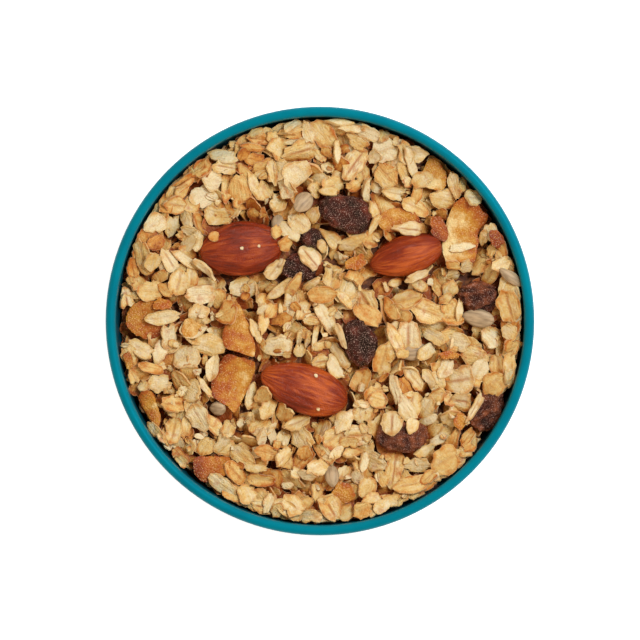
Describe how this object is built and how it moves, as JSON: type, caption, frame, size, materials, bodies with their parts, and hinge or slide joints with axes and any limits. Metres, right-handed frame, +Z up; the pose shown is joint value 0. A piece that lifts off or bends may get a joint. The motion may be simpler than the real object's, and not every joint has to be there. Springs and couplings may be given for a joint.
{
  "type": "bowl of granola",
  "caption": "Small round glazed bowl on a foot ring, filled with toasted oat granola, whole almonds, raisins and coconut chips.",
  "frame": {"origin": "centre of the foot ring, on the surface that the bowl stands on", "axes": "+Z up out of the bowl, +X to the right and +Y to the top of the view from straight above"},
  "size_m": [0.12, 0.12, 0.056],
  "materials": {
    "bowl": "gloss",
    "oats": "matt, toasted",
    "almond": "satin",
    "raisin": "matt, wrinkled",
    "coconut": "matt, toasted"
  },
  "bodies": {
    "root": {"bowl": "bowl", "oats": "oats", "almond_1": "almond", "almond_2": "almond", "almond_3": "almond", "raisin_1": "raisin", "raisin_2": "raisin", "raisin_3": "raisin", "raisin_4": "raisin", "raisin_5": "raisin", "raisin_6": "raisin", "raisin_7": "raisin", "coconut_chip_1": "coconut", "coconut_chip_2": "coconut", "coconut_chip_3": "coconut", "coconut_chip_4": "coconut", "coconut_chip_5": "coconut", "coconut_chip_6": "coconut", "coconut_chip_7": "coconut", "coconut_chip_8": "coconut"}
  },
  "joints": []
}
